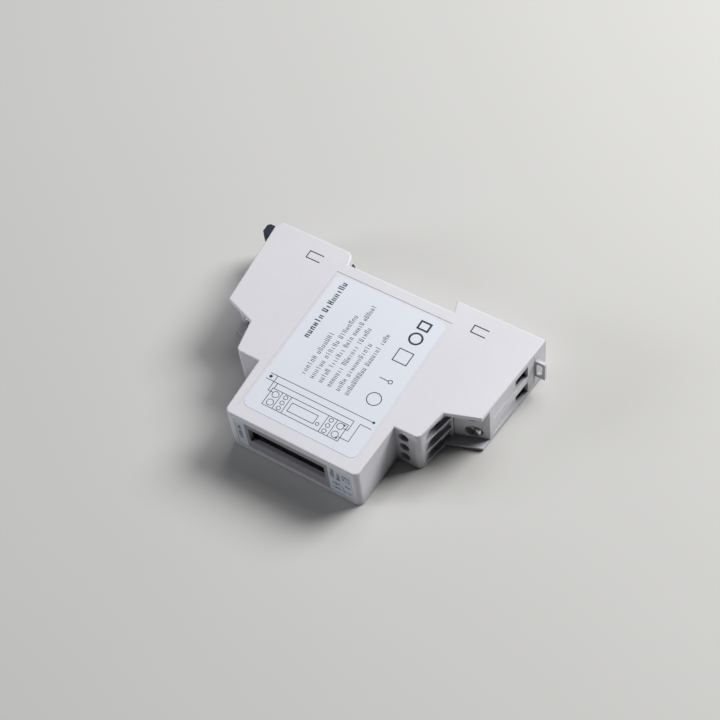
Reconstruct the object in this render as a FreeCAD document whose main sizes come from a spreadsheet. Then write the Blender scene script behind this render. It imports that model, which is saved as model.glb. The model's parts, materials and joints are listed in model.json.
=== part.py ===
"""Single-phase electricity meter for a 35 mm rail, one module wide, lying on its side.

Module coordinates, in millimetres: X runs along the length from the nose's middle, Y runs
from the front face to the rail, Z runs across the width from the plain side to the label
side. Every piece is drawn in them, or about its own axis, and its Placement moves it so
that the part's origin is at the bottom centre of its box.
"""
import FreeCAD, Part
import os
import re
import Sketcher
from FreeCAD import Placement, Rotation, Vector

DOC = FreeCAD.newDocument("rail_meter")
SHEET = DOC.addObject("Spreadsheet::Sheet", "sizes")

# Driving dimensions: alias, millimetres, meaning.
SIZES = [
    # Outline of the module
    ("module_width", 17.5, "one rail module"),
    ("origin_x", 0.75, "centres the box between the latch's tab and the eyelet"),
    ("depth", 63.4, "front face to back"),
    ("nose_half", 22.5, "half of the 45 mm nose"),
    ("nose_front_half", 21.7, "half of the front face"),
    ("shoulder_y", 18.4, "front of the small terminals"),
    ("shoulder_half", 30.2, "outer corner of the shoulder"),
    ("step_y", 28.7, "inner corner before the main terminals"),
    ("step_half", 32.2, "inner corner before the main terminals"),
    ("terminal_y", 32.2, "outer front corner of the main terminals"),
    ("terminal_half", 42.3, "outer front corner of the main terminals"),
    ("end_half", 45.2, "rear end of the case"),
    ("end_chamfer", 2.0, "cut corner beside the latch"),
    ("nose_radius", 1.8, "rounding of the nose's corners"),
    ("shoulder_radius", 1.8, "rounding of the shoulders' corners"),
    ("rim_radius", 0.5, "rounding around the side plates"),
    # Rail recess
    ("recess_y", 59.3, "floor of the recess"),
    ("seat_rise", 0.2, "raised seat that rests on the rail"),
    ("seat_left", 15.9, "raised seat"),
    ("seat_right", 16.2, "raised seat"),
    ("rail_half", 17.9, "half of the recess at its floor"),
    ("hook_tip_x", 16.5, "tip of the fixed hook"),
    ("lead_in_x", 18.7, "recess wall on the latch's side"),
    ("lead_in_radius", 2.7, "rounding of that wall"),
    # Walls
    ("plate", 1.4, "side plates"),
    ("wall", 1.6, "nose walls and rear wall"),
    ("end_wall", 1.2, "end walls of the main terminals"),
    ("slack", 0.1, "gap between moulded pieces"),
    # Front face
    ("film_left", 19.0, "front film"),
    ("film_right", 19.6, "front film"),
    ("film_low", 2.4, "front film"),
    ("film_high", 15.4, "front film"),
    ("film_depth", 0.3, "recess for the film"),
    ("film_proud", 0.05, "film below the front face"),
    ("window_left", 14.6, "display window"),
    ("window_right", 10.8, "display window"),
    ("window_low", 6.5, "display window"),
    ("window_high", 13.2, "display window"),
    ("window_lap", 1.7, "lens and glass beyond the window"),
    ("lens_thick", 0.8, "smoked lens"),
    ("glass_thick", 2.2, "liquid crystal glass"),
    ("backlight_thick", 2.4, "light guide behind the glass"),
    ("board_thick", 1.6, "main board"),
    ("display_board_y", 8.0, "display board's front"),
    ("display_board_thick", 1.2, "display board"),
    ("display_board_half", 19.4, "display board"),
    ("pulse_x", 15.2, "pulse lamp"),
    ("pulse_z", 6.0, "pulse lamp"),
    ("pipe_radius", 0.95, "light pipe"),
    # Side label
    ("label_left", 18.7, "side label"),
    ("label_right", 18.5, "side label"),
    ("label_low", 4.2, "side label"),
    ("label_high", 54.9, "side label"),
    ("label_radius", 2.2, "side label's corners"),
    ("label_thick", 0.08, "side label"),
    ("label_recess", 0.12, "recess around the label"),
    ("label_margin", 0.8, "recess beyond the label"),
    # Snap tongues of the cover
    ("tongue_length", 4.5, "snap tongue"),
    ("tongue_width", 2.2, "snap tongue"),
    ("tongue_slot", 0.35, "slot around a tongue"),
    ("tongue_y", 57.0, "tongue's middle"),
    # Main terminals
    ("block_x", 32.9, "inner face of the terminal block"),
    ("block_wall", 1.2, "inner wall of the terminal block"),
    ("trough_rise", 3.4, "trough's floor behind the plates' edge"),
    ("divider", 1.3, "wall between the two main terminals"),
    ("chamber_front", 37.6, "cage chamber"),
    ("chamber_rear", 56.4, "cage chamber"),
    ("main_x", 38.2, "main screws"),
    ("main_low", 4.75, "neutral terminal's middle"),
    ("main_high", 12.75, "line terminal's middle"),
    ("head_y", 34.0, "front of the main screws' heads"),
    ("head_radius", 2.1, "main screw's head"),
    ("head_tall", 2.0, "main screw's head"),
    ("head_hole", 2.5, "hole around the head"),
    ("head_floor", 36.2, "ledge under the head"),
    ("shank_radius", 1.95, "main screw's thread"),
    ("shank_hole", 2.15, "hole for the thread"),
    ("shank_end", 47.1, "main screw's tip"),
    ("cage_half_x", 2.55, "main cage"),
    ("cage_half_z", 3.0, "main cage"),
    ("cage_front", 43.9, "main cage, open"),
    ("cage_inner_front", 46.3, "main cage, open"),
    ("cage_inner_rear", 54.4, "main cage, open"),
    ("cage_rear", 55.6, "main cage, open"),
    ("cage_inner_half", 2.3, "main cage"),
    ("cage_bore", 2.0, "threaded hole, main cage"),
    ("entry_front", 50.0, "wire entry"),
    ("entry_rear", 54.4, "wire entry"),
    ("entry_half", 2.55, "wire entry"),
    ("groove_front", 37.5, "lead-in groove of the wire entry"),
    ("groove_depth", 1.0, "lead-in groove of the wire entry"),
    ("bar_front", 47.2, "busbars"),
    ("bar_thick", 1.2, "busbars"),
    ("bar_half", 1.9, "busbars"),
    ("bar_end", 41.0, "busbars"),
    ("shunt_half", 6.0, "half of the shunt's length"),
    ("shunt_half_z", 1.6, "shunt"),
    # Small terminals
    ("aux_inner", 20.9, "inner face of the small terminal block"),
    ("aux_rear", 32.2, "rear of the small terminal block"),
    ("aux_x", 25.2, "small screws"),
    ("aux_pitch", 5.1, "spacing of the small terminals"),
    ("aux_hole", 1.65, "hole around a small head"),
    ("aux_ledge", 20.8, "ledge under a small head"),
    ("aux_head_y", 19.9, "front of the small heads"),
    ("aux_head_radius", 1.45, "small screw's head"),
    ("aux_head_tall", 0.8, "small screw's head"),
    ("aux_shank_radius", 1.2, "small screw's thread"),
    ("aux_shank_hole", 1.35, "hole for the small thread"),
    ("aux_shank_end", 25.0, "small screw's tip"),
    ("aux_chamber_front", 21.3, "small cage's chamber"),
    ("aux_chamber_left", 23.1, "small cage's chamber"),
    ("aux_chamber_right", 27.5, "small cage's chamber"),
    ("aux_chamber_half", 2.0, "small cage's chamber"),
    ("aux_cage_half_x", 1.9, "small cage"),
    ("aux_cage_half_z", 1.8, "small cage"),
    ("aux_cage_front", 23.4, "small cage, open"),
    ("aux_cage_inner_front", 24.9, "small cage, open"),
    ("aux_cage_inner_rear", 28.4, "small cage, open"),
    ("aux_cage_rear", 29.2, "small cage, open"),
    ("aux_cage_inner_half", 1.35, "small cage"),
    ("aux_cage_bore", 1.25, "threaded hole, small cage"),
    ("aux_entry_front", 24.4, "small wire entry"),
    ("aux_entry_rear", 28.5, "small wire entry"),
    ("aux_entry_half", 1.7, "small wire entry"),
    ("aux_groove_front", 20.6, "lead-in groove of a small entry"),
    ("aux_groove_rear", 31.5, "lead-in groove of a small entry"),
    ("aux_groove_depth", 1.4, "lead-in groove of a small entry"),
    ("aux_groove_half", 2.1, "lead-in groove of a small entry"),
    ("contact_front", 25.1, "small contact strip"),
    ("contact_thick", 0.6, "small contact strip"),
    ("contact_half", 1.0, "small contact strip"),
    ("contact_end", 27.0, "small contact strip"),
    # Rail latch
    ("latch_low", 4.3, "latch across the width"),
    ("latch_high", 13.8, "latch across the width"),
    ("latch_gap", 0.2, "clearance around the latch"),
    ("latch_front", 59.5, "latch's face towards the case"),
    ("latch_rear", 62.3, "latch's body"),
    ("ridge_rear", 63.2, "raised back of the latch"),
    ("ridge_inset", 1.0, "ledge beside the raised back"),
    ("nose_tip_x", 16.2, "latch's nose over the rail"),
    ("nose_front", 60.7, "latch's nose above the rail's 1 mm flange"),
    ("tab_inner", 46.0, "pull tab"),
    ("tab_outer", 49.4, "pull tab"),
    ("tab_front", 58.1, "pull tab"),
    ("post_outer", 34.2, "spring's fixed post"),
    ("post_inner", 33.0, "spring's fixed post"),
    ("pocket_inner", 24.0, "spring pocket's moving end"),
    ("spring_end", 27.1, "spring's end with the latch pulled"),
    ("spring_radius", 1.3, "latch spring"),
    ("spring_wire", 0.4, "latch spring"),
    # Eyelet at the end away from the latch
    ("eyelet_front", 58.0, "eyelet plate"),
    ("eyelet_thick", 1.0, "eyelet plate"),
    ("eyelet_out", 47.9, "eyelet plate"),
    ("eyelet_low", 5.8, "eyelet plate"),
    ("eyelet_high", 13.5, "eyelet plate"),
    ("eyelet_rim", 0.9, "material outside the eyelet's hole"),
    ("eyelet_slot_low", 7.1, "eyelet's hole"),
    ("eyelet_slot_high", 12.2, "eyelet's hole"),
    # Main board
    ("board_front", 10.2, "main board"),
    ("board_neck", 20.3, "half of the board in the nose"),
    ("board_wide", 32.4, "half of the board behind the shoulders"),
    ("board_step", 32.8, "where the board widens"),
    ("board_rear", 56.4, "main board"),
]

for row, (alias, millimetres, meaning) in enumerate(SIZES, start=1):
    SHEET.set(f"A{row}", meaning)
    SHEET.set(f"B{row}", str(millimetres))
    SHEET.setAlias(f"B{row}", alias)
DOC.recompute()

# Sloping faces, as expressions in the sheet's names.
END_SLOPE = "((end_half - terminal_half) / (depth - terminal_y))"
STEP_SLOPE = "((step_half - shoulder_half) / (step_y - shoulder_y))"
FACE_SLOPE = "((terminal_y - step_y) / (terminal_half - step_half))"
TROUGH_END_Y = f"(terminal_y + trough_rise / (1 - {FACE_SLOPE} * {END_SLOPE}))"
TROUGH_START_Y = f"(step_y + (block_x - step_half) * {FACE_SLOPE} + trough_rise)"
INNER_TOP = "(module_width - plate)"
REAR_INNER_Y = "(recess_y - wall)"
MIDDLE_Z = "(module_width / 2)"
BOARD_LOW = "(module_width / 2 - board_thick / 2)"
BOARD_HIGH = "(module_width / 2 + board_thick / 2)"

PARTS = []


def end_x(y):
    """X of the sloping end face at y."""
    return f"(terminal_half + ({y} - terminal_y) * {END_SLOPE})"


def step_x(y):
    """X of the sloping face of the small wire entries at y."""
    return f"(shoulder_half + ({y} - shoulder_y) * {STEP_SLOPE})"


def value(text):
    """Number that an expression in the sheet's names stands for."""
    return float(SHEET.evalExpression(text))


def bound(text):
    """The same expression as an object outside the sheet writes it."""
    return re.sub(r"[a-z]\w*", r"sizes.\g<0>", text)


def new_body(label):
    body = DOC.addObject("PartDesign::Body", label)
    body.Label = label
    PARTS.append(body)
    return body


def new_sketch(body, role="XY_Plane", offset="0"):
    """Empty sketch on one of the body's own planes, moved along its normal."""
    plane = next(item for item in body.Origin.OriginFeatures if item.Role == role)
    sketch = body.newObject("Sketcher::SketchObject", body.Label + "_sketch")
    sketch.AttachmentSupport = (plane, "")
    sketch.MapMode = "FlatFace"
    sketch.setExpression("AttachmentOffset.Base.z", bound(offset))
    return sketch


def pin_point(sketch, geometry, position, x, y):
    """Dimensions a point from the sketch's origin with the sheet's values."""
    for kind, axis, text in (("DistanceX", -2, x), ("DistanceY", -1, y)):
        distance = value(text)
        if abs(distance) < 1e-9:
            sketch.addConstraint(Sketcher.Constraint("PointOnObject", geometry, position, axis))
            continue
        index = sketch.addConstraint(
            Sketcher.Constraint(kind, -1, 1, geometry, position, distance))
        sketch.setExpression(f"Constraints[{index}]", bound(text))


def draw_polygon(sketch, corners):
    first = sketch.GeometryCount
    points = [Vector(value(x), value(y), 0) for x, y in corners]
    count = len(points)
    for index, point in enumerate(points):
        sketch.addGeometry(Part.LineSegment(point, points[(index + 1) % count]))
    for index in range(count):
        following = first + (index + 1) % count
        sketch.addConstraint(Sketcher.Constraint("Coincident", first + index, 2, following, 1))
    for index, (x, y) in enumerate(corners):
        pin_point(sketch, first + index, 1, x, y)


def draw_rectangle(sketch, x_low, x_high, y_low, y_high):
    draw_polygon(sketch, [(x_low, y_low), (x_high, y_low), (x_high, y_high), (x_low, y_high)])


def require_change(body, before, sign, name):
    """Stops the build if a feature didn't add or cut material as it should."""
    DOC.recompute()
    if sign * (body.Shape.Volume - before) <= 1e-6:
        raise RuntimeError(f"{body.Label}: {name} changed nothing")


def volume_of(body):
    return body.Shape.Volume if body.Tip and not body.Shape.isNull() else 0.0


def pad(body, sketch, length, backwards=False):
    before = volume_of(body)
    feature = body.newObject("PartDesign::Pad", body.Label + "_pad")
    feature.Profile = sketch
    feature.Reversed = backwards
    feature.setExpression("Length", bound(length))
    require_change(body, before, 1, "pad")
    return feature


def pocket(body, sketch, length, backwards=False):
    before = volume_of(body)
    feature = body.newObject("PartDesign::Pocket", body.Label + "_pocket")
    feature.Profile = sketch
    feature.Reversed = backwards
    feature.setExpression("Length", bound(length))
    require_change(body, before, -1, "pocket")
    return feature


def box(body, x, y, z, cut=False):
    """Box between pairs of low and high expressions, added or cut away."""
    before = volume_of(body)
    kind = "SubtractiveBox" if cut else "AdditiveBox"
    feature = body.newObject("PartDesign::" + kind, body.Label + "_box")
    for side, axis, (low, high) in zip(("Length", "Width", "Height"), "xyz", (x, y, z)):
        feature.setExpression(side, bound(f"({high}) - ({low})"))
        feature.setExpression(f"Placement.Base.{axis}", bound(low))
    require_change(body, before, -1 if cut else 1, "box")
    return feature


TURN = {
    "x": Rotation(Vector(0, 1, 0), 90),
    "y": Rotation(Vector(1, 0, 0), -90),
    "z": Rotation(),
}


def rod(body, axis, x, y, z, radius, length, cut=False):
    """Cylinder that starts at a point and runs the positive way along an axis."""
    before = volume_of(body)
    kind = "SubtractiveCylinder" if cut else "AdditiveCylinder"
    feature = body.newObject("PartDesign::" + kind, body.Label + "_rod")
    feature.Placement = Placement(Vector(), TURN[axis])
    for letter, text in zip("xyz", (x, y, z)):
        feature.setExpression(f"Placement.Base.{letter}", bound(text))
    feature.setExpression("Radius", bound(radius))
    feature.setExpression("Height", bound(length))
    require_change(body, before, -1 if cut else 1, "rod")
    return feature


def dress_edges(body, kind, names, size):
    """Fillet or Chamfer on named edges of the body's tip."""
    base = body.Tip
    feature = body.newObject("PartDesign::" + kind, body.Label + "_" + kind.lower())
    feature.Base = (base, names)
    feature.setExpression("Radius" if kind == "Fillet" else "Size", bound(size))
    DOC.recompute()
    return feature


def upright_edges(body, places):
    """Names of the straight edges along Z at the given points."""
    targets = [(value(x), value(y)) for x, y in places]
    names = []
    for index, edge in enumerate(body.Shape.Edges, start=1):
        ends = [vertex.Point for vertex in edge.Vertexes]
        if len(ends) != 2 or (ends[1] - ends[0]).cross(Vector(0, 0, 1)).Length > 1e-6:
            continue
        if any(abs(ends[0].x - x) + abs(ends[0].y - y) < 0.02 for x, y in targets):
            names.append(f"Edge{index}")
    return names


def rim_edges(body, height):
    """Names of the edges around the largest flat face at a height."""
    flat = [face for face in body.Shape.Faces
            if face.BoundBox.ZLength < 1e-6 and abs(face.BoundBox.ZMin - value(height)) < 1e-6]
    rim = max(flat, key=lambda face: face.Area).OuterWire.Edges
    return [f"Edge{index}" for index, edge in enumerate(body.Shape.Edges, start=1)
            if any(edge.isSame(other) for other in rim)]


def all_edges(body):
    return [f"Edge{index}" for index in range(1, len(body.Shape.Edges) + 1)]


MODULE = Placement(Vector(value("origin_x"), -value("depth / 2"), 0), Rotation())
# The pieces at the left end are those of the right end, turned about the nose's middle line.
ENDS = {
    "right": Placement(),
    "left": Placement(Vector(0, 0, value("module_width")), Rotation(Vector(0, 1, 0), 180)),
}
END_SIGN = {"right": "", "left": "-"}
SCREW_TURN = Rotation(Vector(1, 0, 0), 90)


def seat(body, x="0", y="0", z="0", turn=Rotation(), end="right"):
    """Places a piece in the module, and the module about the part's origin."""
    own = Placement(Vector(value(x), value(y), value(z)), turn)
    body.Placement = MODULE * ENDS[end] * own


# ---------------------------------------------------------------- case

def case_outline():
    """Corners of a side plate, from the front face round by the right end."""
    left_end_y = "(depth - end_chamfer)"
    return [
        ("nose_front_half", "0"),
        ("nose_half", "shoulder_y"),
        ("shoulder_half", "shoulder_y"),
        ("step_half", "step_y"),
        ("terminal_half", "terminal_y"),
        ("end_half", "depth"),
        ("hook_tip_x", "depth"),
        ("rail_half", "recess_y"),
        ("-rail_half", "recess_y"),
        ("-lead_in_x", "depth"),
        ("-(end_half - end_chamfer)", "depth"),
        (f"-{end_x(left_end_y)}", left_end_y),
        ("-terminal_half", "terminal_y"),
        ("-step_half", "step_y"),
        ("-shoulder_half", "shoulder_y"),
        ("-nose_half", "shoulder_y"),
        ("-nose_front_half", "0"),
    ]


def round_outline(body):
    """Rounds the upright corners that a plate has in common with its neighbours."""
    nose = [("nose_front_half", "0"), ("-nose_front_half", "0")]
    shoulders = [("shoulder_half", "shoulder_y"), ("-shoulder_half", "shoulder_y")]
    dress_edges(body, "Fillet", upright_edges(body, nose), "nose_radius")
    dress_edges(body, "Fillet", upright_edges(body, shoulders), "shoulder_radius")
    dress_edges(body, "Fillet", upright_edges(body, [("-lead_in_x", "depth")]),
                "lead_in_radius")


def rail_block(latch_side):
    """Corners of the raised back beside the recess, from the seat outwards."""
    if latch_side:
        low = "(depth - end_chamfer)"
        return [
            ("-rail_half", "recess_y"),
            (f"-{end_x('recess_y')}", "recess_y"),
            (f"-{end_x(low)}", low),
            ("-(end_half - end_chamfer)", "depth"),
            ("-lead_in_x", "depth"),
        ]
    return [
        ("rail_half", "recess_y"),
        ("hook_tip_x", "depth"),
        ("end_half", "depth"),
        (end_x("recess_y"), "recess_y"),
    ]


def make_base_case():
    """Tub: plain side plate, nose walls, rear wall, hook, latch channel and eyelet."""
    body = new_body("base_case")
    outline = new_sketch(body)
    draw_polygon(outline, case_outline())
    pad(body, outline, "plate")

    walls = new_sketch(body)
    draw_polygon(walls, [
        ("-nose_half", "shoulder_y"),
        ("-nose_front_half", "0"),
        ("nose_front_half", "0"),
        ("nose_half", "shoulder_y"),
        ("nose_half - wall", "shoulder_y"),
        ("nose_front_half - wall", "wall"),
        ("-(nose_front_half - wall)", "wall"),
        ("-(nose_half - wall)", "shoulder_y"),
    ])
    pad(body, walls, INNER_TOP)

    rear = new_sketch(body)
    draw_polygon(rear, [
        (f"-{end_x(REAR_INNER_Y)}", REAR_INNER_Y),
        (end_x(REAR_INNER_Y), REAR_INNER_Y),
        (end_x("recess_y"), "recess_y"),
        (f"-{end_x('recess_y')}", "recess_y"),
    ])
    pad(body, rear, INNER_TOP)

    hook = new_sketch(body)
    draw_polygon(hook, rail_block(latch_side=False))
    pad(body, hook, INNER_TOP)
    channel = new_sketch(body)
    draw_polygon(channel, rail_block(latch_side=True))
    pad(body, channel, "latch_low - latch_gap")
    round_outline(body)

    # Hollow inside the hook block, closed by the label side's plate.
    box(body, ("hook_tip_x + 4", "end_half - 3"), ("recess_y + slack", "depth - wall"),
        ("plate", "module_width"), cut=True)
    # Lip that holds the latch in its channel, and the post that its spring pushes on.
    box(body, ("-(end_half - end_chamfer - 1)", "-(lead_in_x + lead_in_radius)"),
        ("latch_rear + latch_gap", "depth"),
        ("plate", "latch_low + ridge_inset - latch_gap"))
    box(body, ("-post_outer", "-post_inner"), ("recess_y - slack", "latch_rear - latch_gap"),
        (f"{MIDDLE_Z} - spring_radius", f"{MIDDLE_Z} + spring_radius"))

    # Eyelet plate, with its hole through Y.
    box(body, ("end_half - 1.5", "eyelet_out"), ("eyelet_front", "eyelet_front + eyelet_thick"),
        ("eyelet_low", "eyelet_high"))
    box(body, ("end_half", "eyelet_out - eyelet_rim"),
        ("eyelet_front - 1", "eyelet_front + eyelet_thick + 1"),
        ("eyelet_slot_low", "eyelet_slot_high"), cut=True)

    # Front face: recess for the film, display window and the light pipe's hole.
    film = new_sketch(body, "XZ_Plane")
    draw_rectangle(film, "-film_left", "film_right", "film_low", "film_high")
    pocket(body, film, "film_depth")
    window = new_sketch(body, "XZ_Plane")
    draw_rectangle(window, "-window_left", "window_right", "window_low", "window_high")
    pocket(body, window, "wall + 1")
    rod(body, "y", "pulse_x", "0", "pulse_z", "pipe_radius + slack", "wall + 1", cut=True)

    # Seat on the rail, and the posts beside the cover's snap tongues.
    box(body, ("-seat_left", "seat_right"), ("recess_y - 0.5", "recess_y + seat_rise"),
        ("plate + 0.6", f"{INNER_TOP} - 0.6"))
    for x_low in SNAP_X:
        box(body, (f"{x_low} - 1.6", f"{x_low} - 0.5"), (f"{REAR_INNER_Y} - 1.2", REAR_INNER_Y),
            ("plate", f"{INNER_TOP} - 0.6"))
    dress_edges(body, "Fillet", rim_edges(body, "0"), "rim_radius")
    seat(body)
    return body


# Closed ends of the two snap tongues.
SNAP_X = ("(0 - 30.3)", "25.4")


def make_label_cover():
    """Lid on the label side: plate, label recess, snap tongues, locating lips, latch rail."""
    body = new_body("label_side_cover")
    outline = new_sketch(body, offset=INNER_TOP)
    draw_polygon(outline, case_outline())
    pad(body, outline, "plate")
    channel = new_sketch(body, offset="latch_high + latch_gap")
    draw_polygon(channel, rail_block(latch_side=True))
    pad(body, channel, f"{INNER_TOP} - latch_high - latch_gap")
    round_outline(body)
    # The rail stands on the rear wall's back, so it is cut clear of the wall's top.
    box(body, ("-end_half - 1", "-rail_half + 1"), ("recess_y - 1", "recess_y + slack"),
        ("latch_high", INNER_TOP), cut=True)
    box(body, ("-(end_half - end_chamfer - 1)", "-(lead_in_x + lead_in_radius)"),
        ("latch_rear + latch_gap", "depth"),
        ("latch_high - ridge_inset + latch_gap", INNER_TOP))
    dress_edges(body, "Fillet", rim_edges(body, "module_width"), "rim_radius")

    recess = new_sketch(body, offset="module_width")
    draw_rectangle(recess, "-(label_left + label_margin)", "label_right + label_margin",
                   "label_low - label_margin", "label_high + label_margin")
    pocket(body, recess, "label_recess")

    # Locating lips inside the nose walls and the rear wall.
    lip_z = (f"{INNER_TOP} - 1", f"{INNER_TOP} + 0.1")
    lip_x = "(nose_front_half - wall - slack)"
    box(body, (f"-{lip_x} + 1", f"{lip_x} - 1"), ("wall + slack", "wall + 0.9"), lip_z)
    for low, high in ((f"-{lip_x}", f"-{lip_x} + 0.9"), (f"{lip_x} - 0.9", lip_x)):
        box(body, (low, high), ("wall + 1.5", "shoulder_y - 2"), lip_z)
    box(body, ("-22", "22"), (f"{REAR_INNER_Y} - 0.9", f"{REAR_INNER_Y} - slack"), lip_z)

    for x_low in SNAP_X:
        arms_end = f"{x_low} + tongue_length"
        near = "(tongue_y - tongue_width / 2)"
        far = "(tongue_y + tongue_width / 2)"
        through = (f"{INNER_TOP} - 0.5", "module_width + 1")
        box(body, (f"{x_low} - tongue_slot", x_low),
            (f"{near} - tongue_slot", f"{far} + tongue_slot"), through, cut=True)
        for low, high in ((f"{near} - tongue_slot", near), (far, f"{far} + tongue_slot")):
            box(body, (f"{x_low} - 0.1", arms_end), (low, high), through, cut=True)
        # Leg under the tongue's free end.
        leg_y = (f"{REAR_INNER_Y} - 1.8", f"{REAR_INNER_Y} - 0.3")
        box(body, (x_low, f"{x_low} + 0.8"), leg_y, (f"{INNER_TOP} - 2.6", f"{INNER_TOP} + 0.1"))
    seat(body)
    return body


# ---------------------------------------------------------------- terminals

def make_main_block(end):
    """Insulating block of one end's two main terminals, seen between the side plates."""
    body = new_body("main_terminal_block_" + end)
    outline = new_sketch(body, offset="plate")
    draw_polygon(outline, [
        ("block_x", TROUGH_START_Y),
        (end_x(TROUGH_END_Y), TROUGH_END_Y),
        (end_x(f"{REAR_INNER_Y} - slack"), f"{REAR_INNER_Y} - slack"),
        ("block_x", f"{REAR_INNER_Y} - slack"),
    ])
    pad(body, outline, "module_width - 2 * plate")

    half_divider = "(divider / 2)"
    chambers = (("plate - 1", f"{MIDDLE_Z} - {half_divider}"),
                (f"{MIDDLE_Z} + {half_divider}", f"{INNER_TOP} + 1"))
    for low, high in chambers:
        chamber = new_sketch(body, offset=low)
        draw_polygon(chamber, [
            ("block_x + block_wall", "chamber_front"),
            (f"{end_x('chamber_front')} - end_wall", "chamber_front"),
            (f"{end_x('chamber_rear')} - end_wall", "chamber_rear"),
            ("block_x + block_wall", "chamber_rear"),
        ])
        pocket(body, chamber, f"({high}) - ({low})", backwards=True)

    for middle in ("main_low", "main_high"):
        rod(body, "y", "main_x", "terminal_y - 2", middle, "head_hole",
            "head_floor - terminal_y + 2", cut=True)
        rod(body, "y", "main_x", "terminal_y", middle, "shank_hole",
            "chamber_front - terminal_y + 0.1", cut=True)
        box(body, ("terminal_half - 1.5", "end_half + 1"), ("entry_front", "entry_rear"),
            (f"{middle} - entry_half", f"{middle} + entry_half"), cut=True)
        box(body, ("block_x - 1", "block_x + block_wall + 0.1"),
            ("bar_front - 0.2", "bar_front + bar_thick + 0.2"),
            (f"{middle} - bar_half - 0.2", f"{middle} + bar_half + 0.2"), cut=True)
        groove = new_sketch(body, offset=f"{middle} - entry_half")
        draw_polygon(groove, [
            (f"{end_x('groove_front')} - 0.2", "groove_front"),
            (f"{end_x('groove_front')} + 0.5", "groove_front"),
            (f"{end_x('entry_front')} + 0.5", "entry_front + 0.1"),
            (f"{end_x('entry_front')} - groove_depth", "entry_front + 0.1"),
        ])
        pocket(body, groove, "2 * entry_half", backwards=True)
    seat(body, end=end)
    return body


def new_shoulder(label):
    """Solid shoulder of the case between the side plates, with its rounded corner."""
    body = new_body(label)
    outline = new_sketch(body, offset="plate")
    draw_polygon(outline, [
        ("aux_inner", "shoulder_y"),
        ("shoulder_half", "shoulder_y"),
        (step_x("aux_rear"), "aux_rear"),
        ("aux_inner", "aux_rear"),
    ])
    pad(body, outline, "module_width - 2 * plate")
    dress_edges(body, "Fillet", upright_edges(body, [("shoulder_half", "shoulder_y")]),
                "shoulder_radius")
    return body


def make_shoulder_block():
    """Hollow moulding that closes the left shoulder, which has no small terminals."""
    body = new_shoulder("shoulder_block_left")
    box(body, ("aux_inner - 1", "shoulder_half - wall"),
        ("shoulder_y + wall", "aux_rear - end_wall"),
        ("plate + end_wall", f"{INNER_TOP} - end_wall"), cut=True)
    seat(body, end="left")
    return body


def make_aux_block():
    """Insulating block of the three small terminals, in the right shoulder."""
    body = new_shoulder("aux_terminal_block")
    for middle in AUX_MIDDLES:
        box(body, ("aux_chamber_left", "aux_chamber_right"),
            ("aux_chamber_front", "aux_rear + 1"),
            (f"{middle} - aux_chamber_half", f"{middle} + aux_chamber_half"), cut=True)
        rod(body, "y", "aux_x", "shoulder_y - 1", middle, "aux_hole",
            "aux_ledge - shoulder_y + 1", cut=True)
        rod(body, "y", "aux_x", "shoulder_y", middle, "aux_shank_hole",
            "aux_chamber_front - shoulder_y + 0.1", cut=True)
        box(body, ("aux_chamber_right - 0.1", "step_half + 2"),
            ("aux_entry_front", "aux_entry_rear"),
            (f"{middle} - aux_entry_half", f"{middle} + aux_entry_half"), cut=True)
        box(body, ("aux_inner - 1", "aux_chamber_left + 0.1"),
            ("contact_front - 0.1", "contact_front + contact_thick + 0.1"),
            (f"{middle} - contact_half - 0.1", f"{middle} + contact_half + 0.1"), cut=True)
        groove = new_sketch(body, offset=f"{middle} - aux_groove_half")
        draw_polygon(groove, [
            (f"{step_x('aux_groove_front')} - 0.2", "aux_groove_front"),
            (f"{step_x('aux_groove_front')} + 0.5", "aux_groove_front"),
            (f"{step_x('aux_rear')} + 0.5", "aux_groove_rear"),
            (f"{step_x('aux_rear')} - aux_groove_depth", "aux_groove_rear"),
            (f"{step_x('aux_entry_front')} - aux_groove_depth", "aux_entry_front"),
        ])
        pocket(body, groove, "2 * aux_groove_half", backwards=True)
    seat(body)
    return body


AUX_MIDDLES = tuple(f"({MIDDLE_Z} + {step} * aux_pitch)" for step in ("-1", "0", "1"))


def make_screw(label, head_radius, head_tall, shank_radius, length):
    """Slotted cheese-head screw about its own Z, with the head's top at the origin."""
    body = new_body(label)
    section = new_sketch(body, "XZ_Plane")
    draw_polygon(section, [
        ("0", "0"),
        (f"{head_radius} - 0.25", "0"),
        (head_radius, "-0.25"),
        (head_radius, f"-{head_tall}"),
        (shank_radius, f"-{head_tall}"),
        (shank_radius, f"-({length} - 0.5)"),
        (f"{shank_radius} - 0.5", f"-{length}"),
        ("0", f"-{length}"),
    ])
    turned = body.newObject("PartDesign::Revolution", label + "_turned")
    turned.Profile = section
    turned.ReferenceAxis = (section, ["V_Axis"])
    turned.Angle = 360
    require_change(body, 0.0, 1, "revolution")
    slot_deep = f"{head_radius} * 0.45"
    slot_half = f"{head_radius} * 0.18"
    box(body, (f"-{head_radius} - 1", f"{head_radius} + 1"), (f"-{slot_half}", slot_half),
        (f"-{slot_deep}", "1"), cut=True)
    box(body, (f"-{slot_half}", slot_half), (f"-{head_radius} * 0.62", f"{head_radius} * 0.62"),
        (f"-{slot_deep}", "1"), cut=True)
    return body


def make_cage(label, half_x, half_z, front, inner_front, inner_rear, rear, inner_half, bore):
    """Rising cage about its screw's axis: Z points out of the screw, X along the wire."""
    body = new_body(label)
    box(body, (f"-{half_x}", half_x), (f"-{half_z}", half_z), (f"-({rear} - {front})", "0"))
    dress_edges(body, "Fillet", long_edges_x(body), "slack * 4")
    box(body, (f"-{half_x} - 1", f"{half_x} + 1"), (f"-{inner_half}", inner_half),
        (f"-({inner_rear} - {front})", f"-({inner_front} - {front})"), cut=True)
    rod(body, "z", "0", "0", f"-({inner_front} - {front}) - 0.1", bore,
        f"{inner_front} - {front} + 0.2", cut=True)
    return body


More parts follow.
